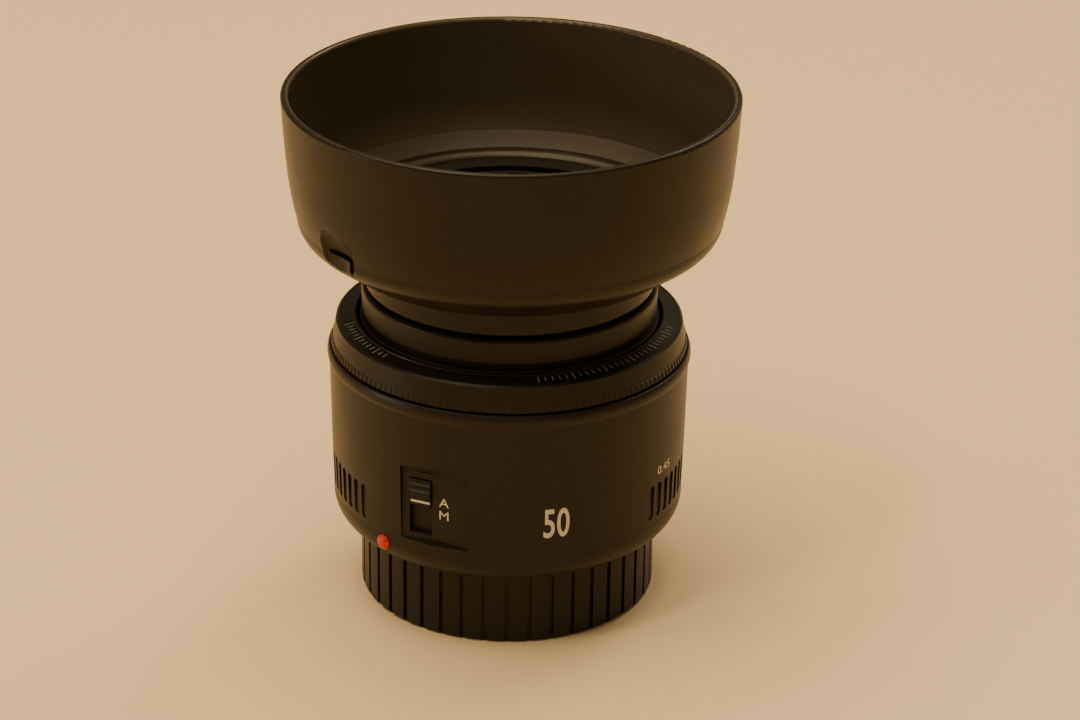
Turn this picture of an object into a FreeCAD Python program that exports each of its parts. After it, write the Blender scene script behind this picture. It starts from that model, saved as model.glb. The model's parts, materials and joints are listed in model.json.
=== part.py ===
"""A standard 50 mm autofocus camera lens with its clip-on hood and rear cap.

The lens stands on its rear cap with the optical axis upright. The frame has its
origin on the standing surface under the optical axis, +Z towards the subject and
the index side of the barrel towards -Y. Millimetres. An azimuth is counted in
degrees from -Y, positive towards +X, so a side faces (sin a, -cos a).
"""
import FreeCAD
import Part
import math
import os

V = FreeCAD.Vector
Z_AXIS = V(0, 0, 1)

# ---- driving dimensions -------------------------------------------------------------
FLANGE_Z = 14.6            # height of the mount's flange plane above the standing surface
LENS_LENGTH = 41.0         # flange plane to the front edge of the focus ring
FRONT_Z = FLANGE_Z + LENS_LENGTH
RUN_GAP = 0.2              # play between pieces that move past each other
FIT_GAP = 0.05             # play between pieces that are only assembled together

CAP_R = 28.0               # over the ribs
CAP_BORE_R = 27.15
CAP_FLOOR = 1.6
CAP_RIBS = 42
CAP_GROOVE_DEPTH = 0.55
CAP_GROOVE_WIDTH = 0.95

SLEEVE_R = 25.4            # bayonet sleeve, outside
SLEEVE_BORE_R = 23.6
SLEEVE_END_Z = 8.6
LUG_R = 26.9               # over the bayonet lugs
LUG_TOP_Z = 12.2
LUG_THICKNESS = 1.6
LUG_HALF_ANGLE = 24.0
LUG_AZIMUTHS = (0.0, 120.0, 240.0)
MOUNT_R = 29.6
MOUNT_THICKNESS = 1.8
MOUNT_TOP_Z = FLANGE_Z + MOUNT_THICKNESS

BARREL_R = 33.4            # main barrel, half way up
BEAD_R = 34.1              # the widest line of the barrel, 68.2 mm across
BARREL_BOTTOM_Z = 15.1
BARREL_TOP_Z = 49.45
BARREL_WALL_R = 31.8       # inside of the shell
WEB_BOTTOM_Z = MOUNT_TOP_Z
WEB_TOP_Z = 17.9
WEB_BORE_R = 24.6

GRIP_SLOTS = 14            # on each side
GRIP_FIRST_AZIMUTH = 53.2
GRIP_STEP = 4.4
GRIP_BOTTOM_Z = 21.8
GRIP_TOP_Z = 28.8
GRIP_WIDTH = 1.6
GRIP_FLOOR_R = 32.9

SWITCH_AZIMUTH = -24.2
SWITCH_FLOOR = 32.15       # distance of the recess floor from the optical axis
SWITCH_HALF_WIDTH = 6.8
SWITCH_BOTTOM_Z = 21.6     # of the recess floor
SWITCH_TOP_Z = 35.4
SWITCH_BEVEL = 1.5         # rise of the bevel for each unit of depth
SWITCH_SLOT = (-5.2, -0.6, 22.9, 34.2)     # across, across, bottom, top
DOT_AZIMUTH = -43.5
DOT_Z = 19.0
DOT_R = 1.45
DOT_SEAT_R = 31.9

RING_BOTTOM_Z = 49.7       # focus ring
RING_TOP_Z = 54.8
RING_BOTTOM_R = 33.3
RING_TOP_R = 32.35
RING_RIBS = 160
RING_RIB_HEIGHT = 0.13      # of the short ribs along the focus ring's foot
RING_RIB_Z = (49.8, 50.0, 51.0, 51.2)
RING_BORE_R = 28.6
DRUM_R = 23.0              # helicoid drum
DRUM_BORE_R = 21.7
DRUM_BOTTOM_Z = 19.6
DRUM_TOP_Z = 44.6

TUBE_R = 28.0              # front of the moving inner barrel
TUBE_FRONT_Z = 55.5
THREAD_R = 26.0            # 52 mm filter thread
TAIL_R = DRUM_BORE_R - RUN_GAP
TAIL_BORE_R = 20.0
TAIL_BOTTOM_Z = 19.6
TUBE_WEB_Z = 46.0

ADAPTER_R = 27.6
ADAPTER_FOOT_R = 26.9
ADAPTER_BOTTOM_Z = 56.7
ADAPTER_TOP_Z = 61.6
ADAPTER_BORE_R = 23.6
SPIGOT_R = 24.9
SPIGOT_TOP_Z = 73.7
LATCH_GROOVE_R = 24.1

HOOD_NECK_R = 27.0
HOOD_NECK_BORE_R = SPIGOT_R + RUN_GAP
HOOD_BOTTOM_Z = 62.1
HOOD_TOP_Z = 99.0
BUTTON_AZIMUTH = -51.0     # the other button is opposite

BLADES = 5
BLADE_PIVOT_R = 14.2       # circle of the pivots, and of the drive pins when open
BLADE_PIN_STEP = 9.0       # azimuth from a blade's pivot to its drive pin
BLADE_TURN = 33.0          # from wide open to stopped down
APERTURE_RING_TURN = 40.0
PIVOT_PIN_R = 0.35
DRIVE_PIN_R = 0.3
BLADE_INNER_R = 8.8
BLADE_OUTER_R = 13.3
BLADE_SPAN = 118.0
BLADE_THICKNESS = 0.08
BLADE_LAYER = 0.13
BLADE_STACK_Z = 25.1

GEAR_MODULE = 0.5          # drum and output pinion
FINE_MODULE = 0.3          # reduction gears
IRIS_MODULE = 0.4          # aperture ring and its pinion
DRUM_TEETH = 96
OUTPUT_TEETH = 12
WHEEL_TEETH = 22
PINION_TEETH = 8
IRIS_RING_TEETH = 79
GEARBOX_AZIMUTH = 180.0    # at the back, away from the index side


# ---- helpers ------------------------------------------------------------------------
def side(azimuth):
    """Unit vector that points out of the barrel at an azimuth."""
    a = math.radians(azimuth)
    return V(math.sin(a), -math.cos(a), 0)


def place(shape, azimuth, distance=0.0):
    """Turn a shape drawn facing +X to an azimuth, and push it out by a distance."""
    turned_shape = shape.copy()
    turned_shape.translate(V(distance, 0, 0))
    turned_shape.rotate(V(0, 0, 0), Z_AXIS, azimuth - 90.0)
    return turned_shape


def outline_wire(points):
    """Closed wire in the XZ plane. A point with a third and fourth value is reached by
    an arc whose middle is the first two values and whose end is the last two."""
    edges = []
    here = V(points[0][0], 0, points[0][1])
    start = here
    for point in points[1:]:
        if len(point) == 4:
            middle = V(point[0], 0, point[1])
            there = V(point[2], 0, point[3])
            edges.append(Part.Arc(here, middle, there).toShape())
        else:
            there = V(point[0], 0, point[1])
            edges.append(Part.LineSegment(here, there).toShape())
        here = there
    if (here - start).Length > 1e-6:
        edges.append(Part.LineSegment(here, start).toShape())
    return Part.Wire(edges)


def turned(points):
    """Solid of revolution about the optical axis from a closed outline of (radius, z)."""
    face = Part.Face(outline_wire(points))
    return face.revolve(V(0, 0, 0), Z_AXIS, 360)


def ring(inner_r, outer_r, bottom_z, top_z):
    """Plain ring about the optical axis."""
    outer = Part.makeCylinder(outer_r, top_z - bottom_z, V(0, 0, bottom_z))
    inner = Part.makeCylinder(inner_r, top_z - bottom_z, V(0, 0, bottom_z))
    return outer.cut(inner)


def sector(inner_r, outer_r, bottom_z, top_z, middle_azimuth, half_angle):
    """Part of a ring, from one azimuth to another."""
    a = math.radians(half_angle)
    low, high = V(math.cos(-a), math.sin(-a), 0), V(math.cos(a), math.sin(a), 0)
    edges = [
        Part.Arc(low * outer_r, V(outer_r, 0, 0), high * outer_r).toShape(),
        Part.LineSegment(high * outer_r, high * inner_r).toShape(),
        Part.Arc(high * inner_r, V(inner_r, 0, 0), low * inner_r).toShape(),
        Part.LineSegment(low * inner_r, low * outer_r).toShape(),
    ]
    solid = Part.Face(Part.Wire(edges)).extrude(V(0, 0, top_z - bottom_z))
    solid.translate(V(0, 0, bottom_z))
    return place(solid, middle_azimuth)


def block(inner, outer, left, right, bottom_z, top_z, azimuth):
    """Box that reaches from one distance to another from the axis, at an azimuth."""
    box = Part.makeBox(outer - inner, right - left, top_z - bottom_z, V(inner, left, bottom_z))
    return place(box, azimuth)


def rod(radius, bottom_z, top_z, azimuth=0.0, distance=0.0):
    """Upright cylinder at an azimuth and a distance from the axis."""
    centre = side(azimuth) * distance
    return Part.makeCylinder(radius, top_z - bottom_z, V(centre.x, centre.y, bottom_z))


def around(shape, azimuths):
    """Copies of a shape drawn at azimuth 0, one at each azimuth."""
    copies = []
    for azimuth in azimuths:
        copy = shape.copy()
        copy.rotate(V(0, 0, 0), Z_AXIS, azimuth)
        copies.append(copy)
    return copies


def evenly(count, first=0.0):
    """Azimuths of a number of equal steps round the axis."""
    return [first + 360.0 * i / count for i in range(count)]


def joined(shapes):
    """One solid from shapes that overlap or share faces."""
    result = shapes[0].multiFuse(shapes[1:]) if len(shapes) > 1 else shapes[0]
    return result.removeSplitter()


def toothed_wire(root_r, tip_r, teeth, root_share, tip_share, z, phase=0.0):
    """Closed outline with straight-sided teeth, centred on phase degrees from +X."""
    step = 2 * math.pi / teeth
    points = []
    for i in range(teeth):
        middle = math.radians(phase) + i * step
        for radius, offset in (
            (root_r, -root_share / 2), (tip_r, -tip_share / 2),
            (tip_r, tip_share / 2), (root_r, root_share / 2),
        ):
            angle = middle + offset * step
            points.append(V(radius * math.cos(angle), radius * math.sin(angle), z))
    points.append(points[0])
    return Part.makePolygon(points)


def gear(module, teeth, bottom_z, top_z, bore_r, phase, centre):
    """Spur gear with slim straight-sided teeth, a tooth centred on phase degrees from +X."""
    pitch_r = module * teeth / 2
    wire = toothed_wire(pitch_r - 1.1 * module, pitch_r + 0.8 * module, teeth, 0.62, 0.22, 0, phase)
    solid = Part.Face(wire).extrude(V(0, 0, top_z - bottom_z))
    if bore_r > 0:
        solid = solid.cut(Part.makeCylinder(bore_r, top_z - bottom_z))
    solid.translate(V(centre.x, centre.y, bottom_z))
    return solid


def mate_phase(phase, teeth, other_teeth, direction):
    """Phase of a gear that meshes with another one, seen from it at a direction in degrees."""
    pitch = 360.0 / teeth
    share = ((direction - phase) % pitch) / pitch
    return direction + 180.0 + (share + 0.5) * 360.0 / other_teeth


def screw(head_r, head_height, shank_r, length, azimuth, distance, head_z):
    """Countersunk-in-a-bore screw that points up, with a crossed recess in its head."""
    head = rod(head_r, head_z, head_z + head_height, azimuth, distance)
    shank = rod(shank_r, head_z + head_height, head_z + head_height + length, azimuth, distance)
    centre = side(azimuth) * distance
    solid = head.fuse(shank)
    for size_x, size_y in ((1.5, 0.35), (0.35, 1.5)):
        corner = V(centre.x - size_x / 2, centre.y - size_y / 2, head_z)
        solid = solid.cut(Part.makeBox(size_x, size_y, head_height * 0.6, corner))
    return solid


# ---- rear cap and mount -------------------------------------------------------------
def make_rear_cap():
    chamfer = 0.7
    top_band_z = FLANGE_Z - 1.2
    body = turned([
        (0, 0.4), (22.0, 0.4), (22.4, 0), (CAP_R - chamfer, 0), (CAP_R, chamfer),
        (CAP_R, FLANGE_Z - 0.35), (CAP_R - 0.35, FLANGE_Z), (CAP_BORE_R, FLANGE_Z),
        (CAP_BORE_R, CAP_FLOOR + 1.0), (CAP_BORE_R - 1.0, CAP_FLOOR), (0, CAP_FLOOR),
    ])
    half = CAP_GROOVE_WIDTH / 2
    groove = Part.makeBox(
        2, 2 * half, top_band_z + 1, V(CAP_R - CAP_GROOVE_DEPTH, -half, -1))
    grooves = [place(groove, azimuth) for azimuth in evenly(CAP_RIBS)]
    body = body.cut(Part.makeCompound(grooves))
    lug = sector(LUG_R - 1.15, CAP_BORE_R + 0.3, LUG_TOP_Z + 0.25, FLANGE_Z - 0.4, 0, LUG_HALF_ANGLE - 2)
    return joined([body] + around(lug, LUG_AZIMUTHS))


MOUNT_SCREW_AZIMUTHS = (60.0, 148.0, 212.0, 300.0)
MOUNT_SCREW_CIRCLE_R = 27.4


def make_mount_plate():
    sleeve = turned([
        (SLEEVE_BORE_R, SLEEVE_END_Z + 0.3), (SLEEVE_BORE_R + 0.3, SLEEVE_END_Z),
        (SLEEVE_R - 0.4, SLEEVE_END_Z), (SLEEVE_R, SLEEVE_END_Z + 0.4), (SLEEVE_R, FLANGE_Z),
        (MOUNT_R - 0.2, FLANGE_Z), (MOUNT_R, FLANGE_Z + 0.2), (MOUNT_R, MOUNT_TOP_Z),
        (SLEEVE_BORE_R, MOUNT_TOP_Z),
    ])
    lug = sector(SLEEVE_R - 0.3, LUG_R, LUG_TOP_Z - LUG_THICKNESS, LUG_TOP_Z, 0, LUG_HALF_ANGLE)
    plate = joined([sleeve] + around(lug, LUG_AZIMUTHS))
    for azimuth in MOUNT_SCREW_AZIMUTHS:
        plate = plate.cut(rod(1.4 + FIT_GAP, FLANGE_Z, FLANGE_Z + 0.9, azimuth, MOUNT_SCREW_CIRCLE_R))
        plate = plate.cut(rod(0.85 + FIT_GAP, FLANGE_Z, MOUNT_TOP_Z, azimuth, MOUNT_SCREW_CIRCLE_R))
    locking_notch = rod(1.0, FLANGE_Z, FLANGE_Z + 1.2, 85.0, 26.6)
    return plate.cut(locking_notch)


def make_mount_screws():
    screws = [
        screw(1.4, 0.9, 0.85, 4.6, azimuth, MOUNT_SCREW_CIRCLE_R, FLANGE_Z)
        for azimuth in MOUNT_SCREW_AZIMUTHS
    ]
    return Part.makeCompound(screws)


BAFFLE_BOTTOM_Z = 13.4


def make_rear_baffle():
    disc = turned([
        (0, BAFFLE_BOTTOM_Z), (SLEEVE_BORE_R - FIT_GAP, BAFFLE_BOTTOM_Z),
        (SLEEVE_BORE_R - FIT_GAP, BAFFLE_BOTTOM_Z + 0.9), (0, BAFFLE_BOTTOM_Z + 0.9),
    ])
    opening = Part.makeCylinder(14.2, 4, V(0, 0, BAFFLE_BOTTOM_Z - 1))
    rim = ring(14.2, 15.0, BAFFLE_BOTTOM_Z - 1.4, BAFFLE_BOTTOM_Z + 0.1)
    flex_notch = block(21.0, 24.0, -5.0, 5.0, BAFFLE_BOTTOM_Z - 1, BAFFLE_BOTTOM_Z + 2, GEARBOX_AZIMUTH)
    return joined([disc.cut(opening), rim]).cut(flex_notch)


CONTACTS = 7
CONTACT_STEP = 7.2
CONTACT_CIRCLE_R = 21.9
CONTACT_FACE_Z = 8.8


def contact_azimuths():
    first = GEARBOX_AZIMUTH - CONTACT_STEP * (CONTACTS - 1) / 2
    return [first + CONTACT_STEP * i for i in range(CONTACTS)]


def make_contact_block():
    body = sector(20.3, SLEEVE_BORE_R - FIT_GAP, CONTACT_FACE_Z, 13.0, GEARBOX_AZIMUTH, 28.0)
    pocket = block(22.3, 23.0, -4.2, 4.2, 12.0, 14.0, GEARBOX_AZIMUTH)
    body = body.cut(pocket)
    for azimuth in contact_azimuths():
        body = body.cut(rod(0.75, CONTACT_FACE_Z - 1, CONTACT_FACE_Z + 1.4, azimuth, CONTACT_CIRCLE_R))
    return body


def make_contact_pins():
    pins = []
    for azimuth in contact_azimuths():
        pin = rod(0.75, CONTACT_FACE_Z - 0.2, CONTACT_FACE_Z + 1.4, azimuth, CONTACT_CIRCLE_R)
        tip = side(azimuth) * CONTACT_CIRCLE_R
        dome = Part.makeSphere(0.75, V(tip.x, tip.y, CONTACT_FACE_Z - 0.2))
        pins.append(joined([pin, dome]))
    return Part.makeCompound(pins)


def make_contact_flex():
    upright = block(22.5, 22.7, -4.0, 4.0, 12.0, 19.3, GEARBOX_AZIMUTH)
    shelf = block(22.5, 26.5, -4.0, 4.0, 19.1, 19.3, GEARBOX_AZIMUTH)
    tail = block(26.3, 26.5, -4.0, 4.0, 19.1, 20.5, GEARBOX_AZIMUTH)
    return joined([upright, shelf, tail])


# ---- main barrel --------------------------------------------------------------------
def barrel_wall_outline():
    return [
        (29.7, BARREL_BOTTOM_Z), (30.6, BARREL_BOTTOM_Z), (32.25, 16.75, 33.1, 20.6),
        (BARREL_R, 31.0), (33.6, 41.0), (33.72, 46.9),
        (BEAD_R, 48.3, 33.75, BARREL_TOP_Z - 0.1), (33.6, BARREL_TOP_Z), (31.3, BARREL_TOP_Z),
        (31.3, 48.3), (BARREL_WALL_R, 47.8), (BARREL_WALL_R, 20.4),
        (30.9, 18.2, 30.0, WEB_TOP_Z), (WEB_BORE_R, WEB_TOP_Z), (WEB_BORE_R, WEB_BOTTOM_Z),
        (29.7, WEB_BOTTOM_Z),
    ]


def grip_azimuths():
    right = [GRIP_FIRST_AZIMUTH + GRIP_STEP * i for i in range(GRIP_SLOTS)]
    return right + [-azimuth for azimuth in right]


def make_grip_slot():
    """Upright slot with round ends, drawn facing +X."""
    half = GRIP_WIDTH / 2
    reach = 3.0
    slot = Part.makeBox(
        reach, GRIP_WIDTH, GRIP_TOP_Z - GRIP_BOTTOM_Z - GRIP_WIDTH,
        V(GRIP_FLOOR_R, -half, GRIP_BOTTOM_Z + half))
    ends = [
        Part.makeCylinder(half, reach, V(GRIP_FLOOR_R, 0, z), V(1, 0, 0))
        for z in (GRIP_BOTTOM_Z + half, GRIP_TOP_Z - half)
    ]
    return joined([slot] + ends)


def make_switch_recess():
    """Flat-bottomed recess with a bevel above and below, drawn facing +X."""
    w = SWITCH_HALF_WIDTH
    outside = BARREL_R + 1.6
    outline = Part.makePolygon([
        V(SWITCH_FLOOR, -w, SWITCH_BOTTOM_Z), V(outside, -w, SWITCH_BOTTOM_Z - 0.4),
        V(outside, -w, SWITCH_TOP_Z + SWITCH_BEVEL * (outside - SWITCH_FLOOR)),
        V(SWITCH_FLOOR, -w, SWITCH_TOP_Z), V(SWITCH_FLOOR, -w, SWITCH_BOTTOM_Z),
    ])
    return Part.Face(outline).extrude(V(0, 2 * w, 0))


def make_outer_barrel():
    shell = turned(barrel_wall_outline())
    slots = [place(make_grip_slot(), azimuth) for azimuth in grip_azimuths()]
    shell = shell.cut(Part.makeCompound(slots))
    shell = shell.cut(place(make_switch_recess(), SWITCH_AZIMUTH))
    window = block(29.0, 34.0, -6.3, 6.3, 22.1, 34.9, SWITCH_AZIMUTH)
    shell = shell.cut(window)
    shell = shell.cut(dot_cylinder(DOT_R + FIT_GAP))
    for azimuth in MOUNT_SCREW_AZIMUTHS:
        hole = rod(0.85 + FIT_GAP, WEB_BOTTOM_Z, WEB_TOP_Z, azimuth, MOUNT_SCREW_CIRCLE_R)
        shell = shell.cut(hole)
    return shell


def dot_cylinder(radius):
    """Cylinder through the barrel's wall on the index dot's own axis."""
    seat = side(DOT_AZIMUTH) * DOT_SEAT_R + V(0, 0, DOT_Z)
    return Part.makeCylinder(radius, 3.0, seat, side(DOT_AZIMUTH))


def make_index_dot():
    """Round-headed dot; its head stands proud of the barrel's lower curve."""
    head = Part.makeSphere(1.85, side(DOT_AZIMUTH) * (DOT_SEAT_R + 0.35) + V(0, 0, DOT_Z))
    return head.common(dot_cylinder(DOT_R))


def make_switch_plate():
    body = block(30.7, SWITCH_FLOOR, -6.25, 6.25, 22.15, 34.85, SWITCH_AZIMUTH)
    flange = block(29.7, 30.7, -7.1, 7.1, 21.5, 35.6, SWITCH_AZIMUTH)
    left, right, bottom, top = SWITCH_SLOT
    pocket = block(31.0, 33.0, left, right, bottom, top, SWITCH_AZIMUTH)
    slit = block(29.0, 31.1, -3.7, -2.1, 26.4, 33.0, SWITCH_AZIMUTH)
    return joined([body, flange]).cut(pocket).cut(slit)


def make_switch_knob():
    """Sliding key: a ridged upper block, a lower lip for the index line and a stem."""
    left, right = SWITCH_SLOT[0] + RUN_GAP, SWITCH_SLOT[1] - RUN_GAP
    outline = Part.makePolygon([
        V(31.15, left, 28.7), V(32.35, left, 28.7), V(32.5, left, 28.9), V(32.5, left, 30.3),
        V(33.1, left, 31.1), V(33.2, left, 31.4), V(33.1, left, 31.7), V(32.7, left, 32.1),
        V(32.7, left, 32.5), V(32.95, left, 32.8), V(32.9, left, 33.1), V(32.6, left, 33.4),
        V(32.4, left, 34.0), V(31.15, left, 34.0), V(31.15, left, 28.7),
    ])
    key = place(Part.Face(outline).extrude(V(0, right - left, 0)), SWITCH_AZIMUTH)
    stem = block(29.4, 31.2, -3.4, -2.4, 30.0, 32.6, SWITCH_AZIMUTH)
    return joined([key, stem])


def make_switch_slider():
    body = block(28.2, 29.4, -4.8, -1.0, 28.4, 34.0, SWITCH_AZIMUTH)
    wiper = block(27.9, 28.2, -4.0, -1.8, 30.0, 31.2, SWITCH_AZIMUTH)
    return joined([body, wiper])


def make_switch_contacts():
    """Bent contact strip that the slider wipes over."""
    strip = block(27.35, 27.6, -4.6, -1.2, 23.4, 35.2, SWITCH_AZIMUTH)
    foot = block(26.6, 27.6, -4.6, -1.2, 23.15, 23.4, SWITCH_AZIMUTH)
    leg = block(26.6, 26.85, -4.6, -1.2, 21.8, 23.4, SWITCH_AZIMUTH)
    return joined([strip, foot, leg])


# ---- chassis, board and drive -------------------------------------------------------
CHASSIS_TOP_Z = 19.1
KEY_AZIMUTHS = (60.0, 180.0 - 45.0, 300.0)
KEY_TOP_Z = 29.5
BOARD_Z = 21.0


def make_chassis():
    base = ring(TAIL_BORE_R + 0.2, 28.6, WEB_TOP_Z, CHASSIS_TOP_Z)
    collar = ring(DRUM_R + RUN_GAP, DRUM_R + 1.2, WEB_TOP_Z, 21.0)
    keys = [
        block(TAIL_BORE_R + 0.2, TAIL_R - 0.1, -1.4, 1.4, WEB_TOP_Z, KEY_TOP_Z, azimuth)
        for azimuth in KEY_AZIMUTHS
    ]
    bosses = []
    for azimuth in MOUNT_SCREW_AZIMUTHS:
        bosses.append(rod(1.9, WEB_TOP_Z, BOARD_Z, azimuth, MOUNT_SCREW_CIRCLE_R))
    frame = joined([base, collar] + bosses + keys)
    frame = frame.cut(block(20.0, 24.6, -5.0, 5.0, WEB_TOP_Z - 1, 22.0, GEARBOX_AZIMUTH))
    for azimuth in MOUNT_SCREW_AZIMUTHS:
        frame = frame.cut(rod(0.85, WEB_TOP_Z, 20.2, azimuth, MOUNT_SCREW_CIRCLE_R))
    return frame


def make_circuit_board():
    """C-shaped board round the chassis, notched where the switch panel comes through."""
    board = sector(25.4, 31.0, BOARD_Z, BOARD_Z + 0.8, 0.0, 134.0)
    return board.cut(block(29.4, 31.6, -7.5, 7.5, BOARD_Z - 0.1, BOARD_Z + 0.9, SWITCH_AZIMUTH))


def make_board_parts():
    """Driver chip, controller chip, crystal and capacitors on the board."""
    top = BOARD_Z + 0.8
    parts = [
        block(26.2, 30.4, -3.0, 3.0, top, top + 1.0, 40.0),
        block(26.0, 30.2, -2.2, 2.2, top, top + 0.9, 75.0),
        block(27.0, 29.4, -1.0, 1.0, top, top + 1.3, 100.0),
        block(26.4, 30.0, -2.6, 2.6, top, top + 1.1, -75.0),
    ]
    for azimuth in (8.0, 14.0, 58.0, -55.0, -95.0, -102.0, 118.0):
        parts.append(block(27.6, 28.6, -0.5, 0.5, top, top + 0.6, azimuth))
    return Part.makeCompound(parts)


AXLE_R = 0.5
GEAR_CIRCLE_R = 27.0
GEAR_SPACING = FINE_MODULE * (WHEEL_TEETH + PINION_TEETH) / 2
GEAR_SPACING_ANGLE = 2 * math.degrees(math.asin(GEAR_SPACING / 2 / GEAR_CIRCLE_R))
OUTPUT_AZIMUTH = GEARBOX_AZIMUTH - GEAR_SPACING_ANGLE
IDLER_AZIMUTH = OUTPUT_AZIMUTH + GEAR_SPACING_ANGLE
MOTOR_AZIMUTH = IDLER_AZIMUTH + GEAR_SPACING_ANGLE
OUTPUT_CENTRE = side(OUTPUT_AZIMUTH) * GEAR_CIRCLE_R
IDLER_CENTRE = side(IDLER_AZIMUTH) * GEAR_CIRCLE_R
MOTOR_CENTRE = side(MOTOR_AZIMUTH) * GEAR_CIRCLE_R
PLATE_LOW_Z = 21.0
PLATE_HIGH_Z = 27.6
MOTOR_TOP_Z = 41.6


def direction_between(start, end):
    return math.degrees(math.atan2(end.y - start.y, end.x - start.x))


DRUM_PHASE = direction_between(V(0, 0, 0), OUTPUT_CENTRE)
OUTPUT_PHASE = mate_phase(DRUM_PHASE, DRUM_TEETH, OUTPUT_TEETH, DRUM_PHASE)
OUTPUT_TO_IDLER = direction_between(OUTPUT_CENTRE, IDLER_CENTRE)
IDLER_PHASE = mate_phase(OUTPUT_PHASE, WHEEL_TEETH, PINION_TEETH, OUTPUT_TO_IDLER)
IDLER_TO_MOTOR = direction_between(IDLER_CENTRE, MOTOR_CENTRE)
MOTOR_PHASE = mate_phase(IDLER_PHASE, WHEEL_TEETH, PINION_TEETH, IDLER_TO_MOTOR)


def plate_outline(bottom_z, top_z):
    middle = (OUTPUT_AZIMUTH + MOTOR_AZIMUTH) / 2
    return sector(24.7, 31.0, bottom_z, top_z, middle, 20.0)


def make_gearbox_plate():
    plate = plate_outline(PLATE_LOW_Z, PLATE_LOW_Z + 0.8)
    pillars = [
        rod(0.9, PLATE_LOW_Z, PLATE_HIGH_Z, azimuth, 30.0)
        for azimuth in (OUTPUT_AZIMUTH - 9.0, MOTOR_AZIMUTH + 8.6)
    ]
    feet = [
        rod(1.2, CHASSIS_TOP_Z, PLATE_LOW_Z, azimuth, 26.6)
        for azimuth in (OUTPUT_AZIMUTH - 8.5, MOTOR_AZIMUTH + 8.0)
    ]
    plate = joined([plate] + pillars + feet)
    for azimuth in (OUTPUT_AZIMUTH, IDLER_AZIMUTH):
        plate = plate.cut(rod(AXLE_R, PLATE_LOW_Z, PLATE_LOW_Z + 0.8, azimuth, GEAR_CIRCLE_R))
    return plate


def make_gearbox_cover():
    plate = plate_outline(PLATE_HIGH_Z, PLATE_HIGH_Z + 0.7)
    for azimuth in (OUTPUT_AZIMUTH, IDLER_AZIMUTH):
        plate = plate.cut(rod(AXLE_R, PLATE_HIGH_Z, PLATE_HIGH_Z + 0.7, azimuth, GEAR_CIRCLE_R))
    return plate.cut(rod(1.1, PLATE_HIGH_Z, PLATE_HIGH_Z + 0.7, MOTOR_AZIMUTH, GEAR_CIRCLE_R))


def make_gear_axles():
    axles = [
        rod(AXLE_R, PLATE_LOW_Z, PLATE_HIGH_Z + 0.7, azimuth, GEAR_CIRCLE_R)
        for azimuth in (OUTPUT_AZIMUTH, IDLER_AZIMUTH)
    ]
    return Part.makeCompound(axles)


def make_af_motor():
    can = rod(3.75, PLATE_HIGH_Z + 0.7, MOTOR_TOP_Z, MOTOR_AZIMUTH, GEAR_CIRCLE_R)
    end = rod(1.6, MOTOR_TOP_Z, MOTOR_TOP_Z + 0.7, MOTOR_AZIMUTH, GEAR_CIRCLE_R)
    bore = rod(AXLE_R + 0.1, PLATE_HIGH_Z, PLATE_HIGH_Z + 6.0, MOTOR_AZIMUTH, GEAR_CIRCLE_R)
    return joined([can, end]).cut(bore)


def make_output_gear():
    low = gear(GEAR_MODULE, OUTPUT_TEETH, 22.0, 24.4, AXLE_R + 0.05, OUTPUT_PHASE, OUTPUT_CENTRE)
    hub = rod(1.3, 24.3, 24.9, OUTPUT_AZIMUTH, GEAR_CIRCLE_R)
    hub = hub.cut(rod(AXLE_R + 0.05, 24.3, 24.9, OUTPUT_AZIMUTH, GEAR_CIRCLE_R))
    wheel = gear(FINE_MODULE, WHEEL_TEETH, 24.8, 25.8, AXLE_R + 0.05, OUTPUT_PHASE, OUTPUT_CENTRE)
    return joined([low, hub, wheel])


def make_idler_gear():
    pinion = gear(FINE_MODULE, PINION_TEETH, 24.7, 26.2, AXLE_R + 0.05, IDLER_PHASE, IDLER_CENTRE)
    wheel = gear(FINE_MODULE, WHEEL_TEETH, 26.1, 27.1, AXLE_R + 0.05, IDLER_PHASE, IDLER_CENTRE)
    return joined([pinion, wheel])


def make_motor_pinion():
    pinion = gear(FINE_MODULE, PINION_TEETH, 26.0, 27.4, 0, MOTOR_PHASE, MOTOR_CENTRE)
    shaft = rod(AXLE_R, 27.3, PLATE_HIGH_Z + 5.0, MOTOR_AZIMUTH, GEAR_CIRCLE_R)
    return joined([pinion, shaft])


# ---- focus ring ---------------------------------------------------------------------
def ring_wall_r(z):
    share = (z - RING_BOTTOM_Z) / (RING_TOP_Z - RING_BOTTOM_Z)
    return RING_BOTTOM_R + share * (RING_TOP_R - RING_BOTTOM_R)


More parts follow.
